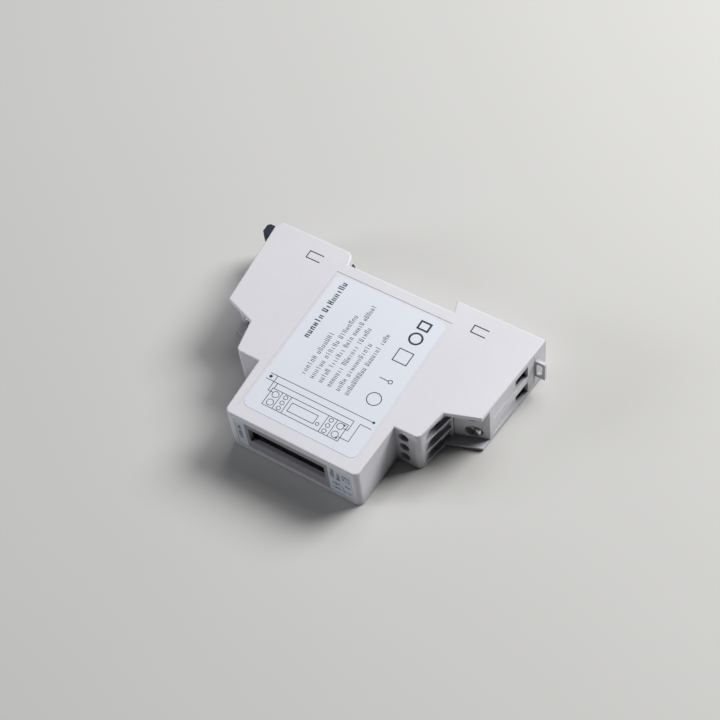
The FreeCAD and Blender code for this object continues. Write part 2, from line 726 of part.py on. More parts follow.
def long_edges_x(body):
    """Names of the edges along X."""
    return [f"Edge{index}" for index, edge in enumerate(body.Shape.Edges, start=1)
            if edge.BoundBox.XLength > 1e-3 and edge.BoundBox.YLength + edge.BoundBox.ZLength < 1e-6]


def make_main_terminals():
    """Two screws and two cages at each end: the line's and the neutral's."""
    for end, sign in END_SIGN.items():
        for name, middle in (("neutral", "main_low"), ("line", "main_high")):
            screw = make_screw(f"{name}_screw_{end}", "head_radius", "head_tall",
                               "shank_radius", "(shank_end - head_y)")
            seat(screw, f"{sign}main_x", "head_y", middle, SCREW_TURN)
            cage = make_cage(f"{name}_cage_{end}", "cage_half_x", "cage_half_z", "cage_front",
                             "cage_inner_front", "cage_inner_rear", "cage_rear",
                             "cage_inner_half", "cage_bore")
            seat(cage, f"{sign}main_x", "cage_front", middle, SCREW_TURN)


def make_aux_terminals():
    """Three small screws, cages and contact strips, numbered from the base."""
    for number, middle in enumerate(AUX_MIDDLES, start=1):
        screw = make_screw(f"aux_screw_{number}", "aux_head_radius", "aux_head_tall",
                           "aux_shank_radius", "(aux_shank_end - aux_head_y)")
        seat(screw, "aux_x", "aux_head_y", middle, SCREW_TURN)
        cage = make_cage(f"aux_cage_{number}", "aux_cage_half_x", "aux_cage_half_z",
                         "aux_cage_front", "aux_cage_inner_front", "aux_cage_inner_rear",
                         "aux_cage_rear", "aux_cage_inner_half", "aux_cage_bore")
        seat(cage, "aux_x", "aux_cage_front", middle, SCREW_TURN)
        make_contact(number, middle)


def make_contact(number, middle):
    """Strip from a small terminal to the main board, which lies between the outer two."""
    body = new_body(f"aux_contact_{number}")
    across = (f"{middle} - contact_half", f"{middle} + contact_half")
    thickness = ("contact_front", "contact_front + contact_thick")
    leg_x = ("board_neck - 1", "board_neck - 0.3")
    if number == 2:
        box(body, ("board_neck + 0.05", "contact_end"), thickness, across)
    else:
        box(body, ("board_neck - 1", "contact_end"), thickness, across)
        leg_z = (across[0], BOARD_LOW) if number == 1 else (BOARD_HIGH, across[1])
        box(body, leg_x, ("contact_front - 0.5", "contact_front + contact_thick + 0.5"), leg_z)
    seat(body)


def make_bars():
    """Neutral bar, and the line's two bars joined by the shunt that measures the current."""
    bar_y = ("bar_front", "bar_front + bar_thick")
    runs = (
        ("neutral_bar", "main_low", ("-bar_end", "bar_end"), "bar_half"),
        ("line_bar_left", "main_high", ("-bar_end", "-shunt_half"), "bar_half"),
        ("line_bar_right", "main_high", ("shunt_half", "bar_end"), "bar_half"),
        ("current_shunt", "main_high", ("-shunt_half", "shunt_half"), "shunt_half_z"),
    )
    for label, middle, along, half in runs:
        body = new_body(label)
        box(body, along, bar_y, (f"{middle} - {half}", f"{middle} + {half}"))
        if label == "current_shunt":
            for x in ("-shunt_half + 1.5", "shunt_half - 1.5"):
                rod(body, "z", x, "bar_front + bar_thick / 2", BOARD_HIGH, "0.4",
                    f"{middle} - shunt_half_z - {BOARD_HIGH} + 0.1")
        seat(body)


# ---------------------------------------------------------------- front and label

def make_front_pieces():
    """Film, lens, liquid crystal glass and light guide, one behind another."""
    film = new_body("front_film")
    face = new_sketch(film, "XZ_Plane", offset="-film_proud")
    draw_rectangle(face, "-film_left + slack", "film_right - slack",
                   "film_low + slack", "film_high - slack")
    draw_rectangle(face, "-window_left", "window_right", "window_low", "window_high")
    pad(film, face, "film_depth - film_proud", backwards=True)
    seat(film)

    layers = (
        ("display_lens", "wall", "lens_thick", "window_lap"),
        ("display_glass", "wall + lens_thick + slack", "glass_thick", "window_lap - 0.3"),
        ("display_backlight", "wall + lens_thick + glass_thick + 2 * slack", "backlight_thick",
         "window_lap - 0.3"),
    )
    for label, front, thick, lap in layers:
        body = new_body(label)
        box(body, (f"-window_left - {lap}", f"window_right + {lap}"),
            (front, f"{front} + {thick}"), (f"window_low - {lap}", f"window_high + {lap}"))
        seat(body)


def make_side_label():
    body = new_body("side_label")
    sheet = new_sketch(body, offset="module_width - label_recess")
    draw_rectangle(sheet, "-label_left", "label_right", "label_low", "label_high")
    pad(body, sheet, "label_thick")
    corners = [(x, y) for x in ("-label_left", "label_right")
               for y in ("label_low", "label_high")]
    dress_edges(body, "Fillet", upright_edges(body, corners), "label_radius")
    seat(body)


# ---------------------------------------------------------------- electronics

def make_boards():
    """Main board across the length, and the display board that stands in front of it."""
    main = new_body("main_board")
    outline = new_sketch(main, offset=BOARD_LOW)
    draw_polygon(outline, [
        ("-board_neck", "board_front"),
        ("board_neck", "board_front"),
        ("board_neck", "board_step"),
        ("board_wide", "board_step"),
        ("board_wide", "board_rear"),
        ("-board_wide", "board_rear"),
        ("-board_wide", "board_step"),
        ("-board_neck", "board_step"),
    ])
    pad(main, outline, "board_thick")
    seat(main)

    display = new_body("display_board")
    box(display, ("-display_board_half", "display_board_half"),
        ("display_board_y", "display_board_y + display_board_thick"),
        ("plate + 0.6", f"{INNER_TOP} - 1.2"))
    seat(display)

    header = new_body("board_header")
    box(header, ("-6.4", "6.4"), ("display_board_y + display_board_thick", "board_front + 3.5"),
        (f"{BOARD_HIGH} + 0.05", f"{BOARD_HIGH} + 2.5"))
    seat(header)


def make_pulse_lamp():
    """Small lamp on the display board and the clear pipe that takes its light to the film."""
    lamp = new_body("pulse_lamp")
    box(lamp, ("pulse_x - 1", "pulse_x + 1"), ("display_board_y - 0.8", "display_board_y"),
        ("pulse_z - 0.6", "pulse_z + 0.6"))
    seat(lamp)
    pipe = new_body("light_pipe")
    rod(pipe, "y", "pulse_x", "film_depth + 0.05", "pulse_z", "pipe_radius",
        "display_board_y - 0.9 - film_depth - 0.05")
    rod(pipe, "y", "pulse_x", "wall + 0.1", "pulse_z", "pipe_radius + 0.6", "1")
    seat(pipe)


def make_flat_chip(label, x, y, half_x, half_y, tall, legs):
    """Chip on the board's upper face with gull-wing legs along two sides."""
    body = new_body(label)
    top = f"{BOARD_HIGH} + {tall}"
    box(body, (f"{x} - {half_x}", f"{x} + {half_x}"), (f"{y} - {half_y}", f"{y} + {half_y}"),
        (f"{BOARD_HIGH} + 0.1", top))
    for number in range(legs):
        middle = f"({x} - {half_x} + {half_x} * 2 * {number + 0.5} / {legs})"
        box(body, (f"{middle} - 0.2", f"{middle} + 0.2"),
            (f"{y} - {half_y} - 1", f"{y} + {half_y} + 1"), (BOARD_HIGH, f"{BOARD_HIGH} + 0.2"))
    seat(body)


def make_capacitors():
    """Rectangular mains capacitor and round storage capacitor, both lying on the board."""
    mains = new_body("mains_capacitor")
    box(mains, ("-18", "-5"), ("34.5", "41"), (f"{BOARD_HIGH} + 0.05", f"{BOARD_HIGH} + 5.6"))
    dress_edges(mains, "Fillet", all_edges(mains), "slack * 4")
    seat(mains)

    storage = new_body("storage_capacitor")
    rod(storage, "x", "1", "38", f"{BOARD_HIGH} + 2.65", "2.6", "11")
    seat(storage)


def make_round_parts():
    """Varistor disc, dropper resistor and quartz crystal."""
    varistor = new_body("varistor")
    rod(varistor, "z", "-24.5", "38.5", f"{BOARD_HIGH} + 0.3", "3.6", "3.2")
    seat(varistor)

    resistor = new_body("dropper_resistor")
    rod(resistor, "x", "15.5", "36", f"{BOARD_HIGH} + 1.8", "1.7", "9")
    seat(resistor)

    crystal = new_body("crystal")
    box(crystal, ("4.5", "12.5"), ("18", "21.4"), (f"{BOARD_HIGH} + 0.05", f"{BOARD_HIGH} + 3.2"))
    dress_edges(crystal, "Fillet", upright_edges(crystal, [
        (x, y) for x in ("4.5", "12.5") for y in ("18", "21.4")]), "1.6")
    seat(crystal)


# ---------------------------------------------------------------- rail latch

def make_latch():
    """Sliding latch: nose over the rail's flange, body in its channel and pull tab."""
    body = new_body("rail_latch")
    profile = new_sketch(body, offset="latch_low")
    draw_polygon(profile, [
        ("-nose_tip_x", "nose_front"),
        ("-(nose_tip_x + 2)", "latch_rear"),
        ("-(tab_inner - 0.5)", "latch_rear"),
        ("-(tab_inner - 0.5)", "ridge_rear"),
        ("-(tab_outer - 0.7)", "ridge_rear"),
        ("-tab_outer", "ridge_rear - 0.8"),
        ("-(tab_outer - 0.1)", "tab_front + 1.9"),
        ("-(tab_outer - 1.8)", "tab_front"),
        ("-tab_inner", "tab_front"),
        ("-tab_inner", "latch_front"),
        ("-(nose_tip_x + 3.3)", "latch_front"),
        ("-(nose_tip_x + 3.3)", "nose_front"),
    ])
    pad(body, profile, "latch_high - latch_low")
    box(body, ("-(tab_inner - 0.4)", "-(nose_tip_x + 4)"), ("latch_rear - 0.5", "ridge_rear"),
        ("latch_low + ridge_inset", "latch_high - ridge_inset"))
    # Pocket for the return spring and its post, open towards the case.
    box(body, ("-(post_outer + 0.1)", "-pocket_inner"), ("latch_front - 1", "latch_rear"),
        (f"{MIDDLE_Z} - spring_radius - latch_gap", f"{MIDDLE_Z} + spring_radius + latch_gap"),
        cut=True)
    # Slot in the tab for a screwdriver's blade.
    box(body, ("-(tab_outer - 1)", "-(tab_inner + 0.9)"), ("tab_front - 1", "ridge_rear + 1"),
        ("latch_low + 1.9", "latch_high - 1.9"), cut=True)
    seat(body)

    spring = new_body("latch_spring")
    middle_y = "((latch_front + latch_rear) / 2)"
    length = "(post_inner - spring_end)"
    rod(spring, "x", "-post_inner", middle_y, MIDDLE_Z, "spring_radius", length)
    rod(spring, "x", "-post_inner - 1", middle_y, MIDDLE_Z, "spring_radius - spring_wire",
        f"{length} + 2", cut=True)
    seat(spring)


# ---------------------------------------------------------------- whole meter

def make_meter():
    make_base_case()
    make_label_cover()
    for end in ENDS:
        make_main_block(end)
    make_shoulder_block()
    make_aux_block()
    make_main_terminals()
    make_aux_terminals()
    make_bars()
    make_front_pieces()
    make_side_label()
    make_boards()
    make_pulse_lamp()
    make_flat_chip("metering_chip", "(0 - 4)", "27", "5", "2", "1.7", 8)
    make_flat_chip("microcontroller", "(0 - 8)", "18.2", "3.5", "3", "1.5", 7)
    make_flat_chip("optocoupler", "12", "28", "2.3", "3.2", "3.4", 2)
    make_capacitors()
    make_round_parts()
    make_latch()


def check_document():
    """Every feature is up to date, and every piece is one valid closed solid."""
    for item in DOC.Objects:
        if "Invalid" in item.State or "Error" in item.State:
            raise RuntimeError(f"{item.Label}: {item.State}")
    for body in PARTS:
        shape = body.Shape
        if shape.isNull() or not shape.isValid() or len(shape.Solids) != 1:
            raise RuntimeError(f"{body.Label}: not one valid solid")


def write_parts():
    os.makedirs("parts", exist_ok=True)
    for body in PARTS:
        body.Shape.exportStep(f"parts/{body.Label}.step")
    print(f"{len(PARTS)} parts written")


make_meter()
DOC.recompute()
check_document()
write_parts()
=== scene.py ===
import json
import math
import random

import bmesh
import bpy
from mathutils import Matrix, Vector


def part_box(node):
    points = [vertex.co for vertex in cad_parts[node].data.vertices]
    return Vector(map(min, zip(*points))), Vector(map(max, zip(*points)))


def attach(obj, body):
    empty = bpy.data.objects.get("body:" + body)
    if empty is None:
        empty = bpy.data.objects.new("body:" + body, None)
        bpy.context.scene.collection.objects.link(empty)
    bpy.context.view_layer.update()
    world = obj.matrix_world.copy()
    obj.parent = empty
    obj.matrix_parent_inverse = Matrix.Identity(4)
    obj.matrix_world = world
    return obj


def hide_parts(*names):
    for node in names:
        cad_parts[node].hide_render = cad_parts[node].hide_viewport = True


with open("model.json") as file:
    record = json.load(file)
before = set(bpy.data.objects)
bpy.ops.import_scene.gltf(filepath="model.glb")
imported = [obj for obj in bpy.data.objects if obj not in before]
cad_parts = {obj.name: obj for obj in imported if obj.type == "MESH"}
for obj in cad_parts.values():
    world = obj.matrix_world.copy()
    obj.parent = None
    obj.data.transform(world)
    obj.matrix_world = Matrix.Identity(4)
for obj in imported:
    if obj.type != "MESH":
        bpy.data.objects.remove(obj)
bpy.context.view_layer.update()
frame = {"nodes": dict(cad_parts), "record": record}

NODES = frame["nodes"]
MM = 0.001

# The module's own coordinates start at the nose's middle line, the front face and the floor.
# x runs along the length, y from the front to the rail and z up, all in millimetres.
BOARD_LOW, BOARD_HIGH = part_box("main_board")
CASE_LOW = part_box("base_case")[0]
MODULE = Vector(((BOARD_LOW[0] + BOARD_HIGH[0]) / 2, CASE_LOW[1], 0.0))


def at(x, y, z):
    """Point given in the module's own millimetres."""
    return MODULE + Vector((x, y, z)) * MM


# ---------------------------------------------------------------- camera and stage

# Lens in millimetres, clips in metres, and the camera's place in the module's coordinates.
SENSOR_WIDTH = 36.0
FOCAL_LENGTH = 81.085
CLIP_NEAR, CLIP_FAR = 0.01, 20.0
CAMERA_PLACE = (162.1, -163.9, 397.3)
CAMERA_RIGHT = (0.8463, 0.5263, -0.0829)
CAMERA_FORWARD = (-0.3492, 0.4304, -0.8324)

# Name, place in metres, width, power in watts and colour. Each is aimed at the origin.
LIGHTS = (
    ("key", (0.42, 0.7, 0.72), 0.55, 12.0, (1.0, 0.99, 0.97)),
    ("rear", (0.0, 0.7, 1.0), 0.7, 4.3, (0.99, 0.99, 1.0)),
    ("front_left", (-0.95, -0.72, 0.42), 0.45, 5.4, (0.96, 0.97, 1.0)),
)
WORLD_COLOUR = (0.93, 0.96, 1.0, 1.0)
WORLD_STRENGTH = 0.015
FLOOR_HALF = 3.0


def make_camera():
    """Camera beyond the front right corner, looking down at the label side."""
    data = bpy.data.cameras.new("camera")
    data.sensor_width = SENSOR_WIDTH
    data.lens = FOCAL_LENGTH
    data.clip_start = CLIP_NEAR
    data.clip_end = CLIP_FAR
    camera = bpy.data.objects.new("camera", data)
    bpy.context.scene.collection.objects.link(camera)
    back = -Vector(CAMERA_FORWARD).normalized()
    up = back.cross(Vector(CAMERA_RIGHT)).normalized()
    right = up.cross(back)
    turn = Matrix((right, up, back)).transposed()
    camera.matrix_world = Matrix.Translation(at(*CAMERA_PLACE)) @ turn.to_4x4()
    bpy.context.scene.camera = camera


def make_light(name, place, size, power, colour):
    """Round area light aimed at the origin."""
    data = bpy.data.lights.new(name, "AREA")
    data.shape = "DISK"
    data.size = size
    data.energy = power
    data.color = colour
    light = bpy.data.objects.new(name, data)
    bpy.context.scene.collection.objects.link(light)
    light.location = place
    aim = -Vector(place)
    light.rotation_euler = aim.to_track_quat("-Z", "Y").to_euler()


def make_stage():
    """Pale floor, faint world light and the soft lights."""
    mesh = bpy.data.meshes.new("floor")
    half = FLOOR_HALF
    mesh.from_pydata([(-half, -half, 0), (half, -half, 0), (half, half, 0), (-half, half, 0)],
                     [], [(0, 1, 2, 3)])
    floor = bpy.data.objects.new("floor", mesh)
    bpy.context.scene.collection.objects.link(floor)
    mesh.materials.append(plain_floor())

    world = bpy.data.worlds.new("studio")
    bpy.context.scene.world = world
    world.use_nodes = True
    background = world.node_tree.nodes["Background"]
    background.inputs["Color"].default_value = WORLD_COLOUR
    background.inputs["Strength"].default_value = WORLD_STRENGTH
    for light in LIGHTS:
        make_light(*light)


# ---------------------------------------------------------------- materials

OPENNESS_SAMPLES = 8
PLASTIC_MOTTLE = 0.03
# Painted shade and dirt: metres within which a facing wall darkens a recess's colour, and the
# share of colour left deep in it.
SHADE_AND_DIRT_REACH = 0.012
SHADE_AND_DIRT_LEFT = 0.28
GRAIN_PER_METRE = 5200.0
LENS_INDEX = 1.18


class Shader:
    """A material's node tree, with short calls for the nodes used here."""

    def __init__(self, name):
        self.material = bpy.data.materials.new(name)
        self.material.use_nodes = True
        self.tree = self.material.node_tree
        self.nodes = self.tree.nodes
        self.bsdf = self.nodes["Principled BSDF"]
        self.place = self.nodes.new("ShaderNodeTexCoord").outputs["Object"]

    def set(self, **values):
        """Constants on the surface's own sockets."""
        for name, value in values.items():
            self.bsdf.inputs[name.replace("_", " ")].default_value = value

    def link(self, output, name):
        """Feeds one of the surface's own sockets from a node's output."""
        self.tree.links.new(output, self.bsdf.inputs[name])

    def scaled(self, scale):
        """The object's coordinates, stretched by a factor along each axis."""
        node = self.nodes.new("ShaderNodeMapping")
        node.inputs["Scale"].default_value = scale
        self.tree.links.new(self.place, node.inputs["Vector"])
        return node.outputs["Vector"]

    def noise(self, per_metre, detail=3.0, rough=0.5, place=None):
        """Cloudy noise from 0 to 1, with its scale as features in a metre."""
        node = self.nodes.new("ShaderNodeTexNoise")
        node.inputs["Scale"].default_value = per_metre
        node.inputs["Detail"].default_value = detail
        node.inputs["Roughness"].default_value = rough
        self.tree.links.new(place or self.place, node.inputs["Vector"])
        return node.outputs["Fac"]

    def cells(self, per_metre):
        """Distance to the nearest of many scattered points."""
        node = self.nodes.new("ShaderNodeTexVoronoi")
        node.inputs["Scale"].default_value = per_metre
        self.tree.links.new(self.place, node.inputs["Vector"])
        return node.outputs["Distance"]

    def openness(self, distance):
        """1 on open faces, falling towards 0 deep in recesses, where the colour is darkened by
        painted shade and dirt.
        """
        node = self.nodes.new("ShaderNodeAmbientOcclusion")
        node.samples = OPENNESS_SAMPLES
        node.inputs["Distance"].default_value = distance
        return node.outputs["AO"]

    def span(self, value, low, high, start=0.0, end=1.0):
        """Maps a value that runs from start to end onto low to high, and holds it there."""
        node = self.nodes.new("ShaderNodeMapRange")
        for name, number in (("From Min", start), ("From Max", end),
                             ("To Min", low), ("To Max", high)):
            node.inputs[name].default_value = number
        self.tree.links.new(value, node.inputs["Value"])
        return node.outputs["Result"]

    def blend(self, factor, first, second):
        """Mix of two colours, each a tuple or a node's output."""
        node = self.nodes.new("ShaderNodeMix")
        node.data_type = "RGBA"
        self.tree.links.new(factor, node.inputs["Factor"])
        for socket, colour in ((node.inputs["A"], first), (node.inputs["B"], second)):
            if isinstance(colour, tuple):
                socket.default_value = colour + (1.0,)
            else:
                self.tree.links.new(colour, socket)
        return node.outputs["Result"]

    def math(self, operation, first, second):
        node = self.nodes.new("ShaderNodeMath")
        node.operation = operation
        for socket, value in zip(node.inputs, (first, second)):
            if isinstance(value, (int, float)):
                socket.default_value = value
            else:
                self.tree.links.new(value, socket)
        return node.outputs["Value"]

    def bump(self, height, strength, depth, onto=None):
        """Normal of a height field of the given depth in metres, laid over another one."""
        node = self.nodes.new("ShaderNodeBump")
        node.inputs["Strength"].default_value = strength
        node.inputs["Distance"].default_value = depth
        self.tree.links.new(height, node.inputs["Height"])
        if onto:
            self.tree.links.new(onto, node.inputs["Normal"])
        return node.outputs["Normal"]


def shade(colour, factor):
    """The colour made darker or lighter, up to full white."""
    return tuple(min(1.0, channel * factor) for channel in colour)


def plastic(name, colour, rough=0.45, grain=0.25):
    """Moulded plastic: eroded-mould grain, slow colour drift, faint flow marks, scuffs, and
    recesses darkened by painted shade and dirt."""
    shader = Shader(name)
    drift = shader.noise(45.0, 4.0, 0.55)
    speckle = shader.noise(900.0, 3.0, 0.6)
    tone = shader.math("ADD", shader.math("MULTIPLY", drift, 0.65),
                       shader.math("MULTIPLY", speckle, 0.35))
    base = shader.blend(shader.span(tone, 0.0, 1.0, 0.3, 0.7),
                        shade(colour, 1 - PLASTIC_MOTTLE), shade(colour, 1 + PLASTIC_MOTTLE))
    # Painted shade and dirt: the colour darkens towards a darker copy deep in recesses, where
    # shade falls.
    painted_shade_and_dirt = shader.span(shader.openness(SHADE_AND_DIRT_REACH), 1.0, 0.0, 0.15, 0.8)
    shader.link(shader.blend(painted_shade_and_dirt, base, shade(colour, SHADE_AND_DIRT_LEFT)), "Base Color")
    scuffs = shader.noise(230.0, 5.0, 0.7)
    shader.link(shader.span(scuffs, rough - 0.07, rough + 0.09, 0.25, 0.75), "Roughness")
    fine = shader.noise(GRAIN_PER_METRE, 2.0, 0.6)
    waves = shader.bump(drift, 0.1, 0.0004)
    shader.link(shader.bump(fine, grain, 0.00003, waves), "Normal")
    shader.set(IOR=1.5)
    return shader.material


def plain_floor():
    """Matt studio paper with a slow drift in tone."""
    shader = Shader("floor_paper")
    tone = shader.noise(6.0, 3.0, 0.5)
    shader.link(shader.blend(tone, (0.60, 0.60, 0.59), (0.63, 0.63, 0.62)), "Base Color")
    shader.set(Roughness=0.75)
    return shader.material


def sheet(name, colour, rough=0.32, orange_peel=0.06, mottle=0.015):
    """Printed polyester sheet: even colour, faint orange peel and dust."""
    shader = Shader(name)
    drift = shader.noise(70.0, 3.0, 0.5)
    shader.link(shader.blend(drift, shade(colour, 1 - mottle), shade(colour, 1 + mottle)),
                "Base Color")
    smudge = shader.noise(120.0, 4.0, 0.65)
    shader.link(shader.span(smudge, rough - 0.06, rough + 0.08, 0.3, 0.7), "Roughness")
    peel = shader.noise(1500.0, 2.0, 0.5)
    shader.link(shader.bump(peel, orange_peel, 0.00005), "Normal")
    return shader.material


def metal(name, colour, rough, stretch):
    """Plated metal: fine drawn or turned marks, cloudy plating, darker specks."""
    marks, tarnish = 0.12, 0.15
    shader = Shader(name)
    cloud = shader.noise(700.0, 4.0, 0.6)
    specks = shader.cells(2600.0)
    tint = shader.blend(shader.span(cloud, 0.0, 1.0, 0.3, 0.7),
                        shade(colour, 1 - tarnish), shade(colour, 1 + tarnish * 0.5))
    spotted = shader.blend(shader.span(specks, 0.35, 0.0, 0.0, 0.12), tint,
                           shade(colour, 0.45))
    shader.link(spotted, "Base Color")
    lines = shader.noise(1.0, 3.0, 0.6, shader.scaled(tuple(9000.0 * k for k in stretch)))
    shader.link(shader.span(lines, rough - 0.08, rough + 0.12, 0.3, 0.7), "Roughness")
    shader.link(shader.bump(lines, marks, 0.00002), "Normal")
    shader.set(Metallic=1.0)
    return shader.material


def clear(name, colour):
    """Clear or tinted moulding with a faint haze."""
    rough = 0.08
    shader = Shader(name)
    haze = shader.noise(300.0, 3.0, 0.6)
    shader.link(shader.span(haze, rough, rough + 0.06, 0.3, 0.7), "Roughness")
    shader.link(shader.blend(haze, shade(colour, 0.97), shade(colour, 1.0)), "Base Color")
    shader.set(Transmission_Weight=1.0, IOR=LENS_INDEX)
    return shader.material


def circuit_board(name, colour):
    """Solder mask over tracks: slightly raised straight runs under a glossy green coat."""
    shader = Shader(name)
    weave = shader.noise(2500.0, 2.0, 0.5)
    blocks = shader.nodes.new("ShaderNodeTexBrick")
    for socket, value in (("Scale", 160.0), ("Mortar Size", 0.06), ("Brick Width", 0.9),
                          ("Row Height", 0.22)):
        blocks.inputs[socket].default_value = value
    shader.tree.links.new(shader.place, blocks.inputs["Vector"])
    tracks = blocks.outputs["Fac"]
    shader.link(shader.blend(tracks, shade(colour, 0.8), shade(colour, 1.5)), "Base Color")
    shader.link(shader.span(weave, 0.22, 0.4), "Roughness")
    shader.link(shader.bump(tracks, 0.3, 0.00004), "Normal")
    return shader.material


MATERIALS = {
    "case_plastic": plastic("case_plastic_moulded", (0.71, 0.708, 0.76)),
    "latch_plastic": plastic("latch_plastic_moulded", (0.022, 0.030, 0.046), rough=0.42),
    "black_plastic": plastic("black_plastic_moulded", (0.012, 0.012, 0.014), rough=0.55),
    "yellow_plastic": plastic("yellow_plastic_moulded", (0.75, 0.47, 0.05), rough=0.35),
    "can_sleeve": plastic("can_sleeve_shrunk", (0.02, 0.03, 0.07), rough=0.3, grain=0.08),
    "blue_coating": plastic("blue_coating_dipped", (0.03, 0.1, 0.42), rough=0.3, grain=0.1),
    "ceramic": plastic("ceramic_fired", (0.6, 0.57, 0.5), rough=0.7, grain=0.4),
    "lamp": plastic("lamp_moulded", (0.5, 0.03, 0.02), rough=0.25, grain=0.05),
    "light_guide": plastic("light_guide_moulded", (0.16, 0.17, 0.14), rough=0.35, grain=0.1),
    "film": sheet("film_printed", (0.6, 0.65, 0.75)),
    "label": sheet("label_printed", (0.735, 0.775, 0.855)),
    "clear_plastic": clear("clear_plastic_moulded", (0.9, 0.91, 0.92)),
    "smoked_plastic": clear("smoked_plastic_moulded", (0.03, 0.03, 0.033)),
    "display_glass": sheet("display_glass_dark", (0.006, 0.006, 0.007), rough=0.12,
                           orange_peel=0.01),
    "board": circuit_board("board_masked", (0.02, 0.13, 0.05)),
    "brass": metal("brass_rolled", (0.8, 0.58, 0.3), rough=0.32, stretch=(0.05, 1.0, 1.0)),
    "shunt_alloy": metal("shunt_alloy_rolled", (0.62, 0.42, 0.3), rough=0.36,
                         stretch=(0.05, 1.0, 1.0)),
    "plated_steel": metal("plated_steel_pressed", (0.66, 0.65, 0.6), rough=0.34,
                          stretch=(0.3, 1.0, 1.0)),
    "screw_steel": metal("screw_steel_turned", (0.75, 0.72, 0.7), rough=0.3,
                         stretch=(1.0, 0.15, 1.0)),
}
INK = sheet("printing_ink", (0.024, 0.03, 0.062), rough=0.4, mottle=0.12)
PANEL = sheet("panel_ink", (0.29, 0.28, 0.305), rough=0.4, mottle=0.05)
SEGMENT = sheet("segment_dark", (0.02, 0.021, 0.022), rough=0.25, mottle=0.05)


# Edge radii in millimetres, by material slot.
EDGE_RADIUS = {
    "case_plastic": 0.12,
    "latch_plastic": 0.2,
    "plated_steel": 0.08,
    "black_plastic": 0.1,
    "brass": 0.05,
}
# Degrees by which two faces must bend for their edge to be rounded.
ROUNDED_BEND = 40


def dress_nodes():
    """Every CAD node takes the material of its slot in the record, and soft moulded edges."""
    for entry in frame["record"]["subparts"]:
        node = NODES[entry["node"]]
        slot = entry["material_slot"]
        node.data.materials.clear()
        node.data.materials.append(MATERIALS[slot])
        if slot in EDGE_RADIUS:
            soften(node, EDGE_RADIUS[slot])


def soften(piece, radius):
    """Rounds sharp edges by modifiers. The CAD mesh keeps its points, and is shaded smooth."""
    weld = piece.modifiers.new("weld", "WELD")
    weld.merge_threshold = 1e-6
    bevel = piece.modifiers.new("soft_edges", "BEVEL")
    bevel.width = radius * MM
    bevel.segments = 2
    bevel.limit_method = "ANGLE"
    bevel.angle_limit = math.radians(ROUNDED_BEND)
    bevel.use_clamp_overlap = True
    normals = piece.modifiers.new("face_normals", "WEIGHTED_NORMAL")
    normals.mode = "FACE_AREA"
    normals.weight = 100
    for face in piece.data.polygons:
        face.use_smooth = True


# ---------------------------------------------------------------- new pieces

def mesh_from(name, builder):
    """Mesh of all that the builder holds; the builder is used up."""
    mesh = bpy.data.meshes.new(name)
    builder.to_mesh(mesh)
    builder.free()
    return mesh


def add_piece(name, mesh, material, body="meter"):
    """New visible object that rides on a body."""
    piece = bpy.data.objects.new(name, mesh)
    bpy.context.scene.collection.objects.link(piece)
    mesh.materials.append(material)
    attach(piece, body)
    return piece


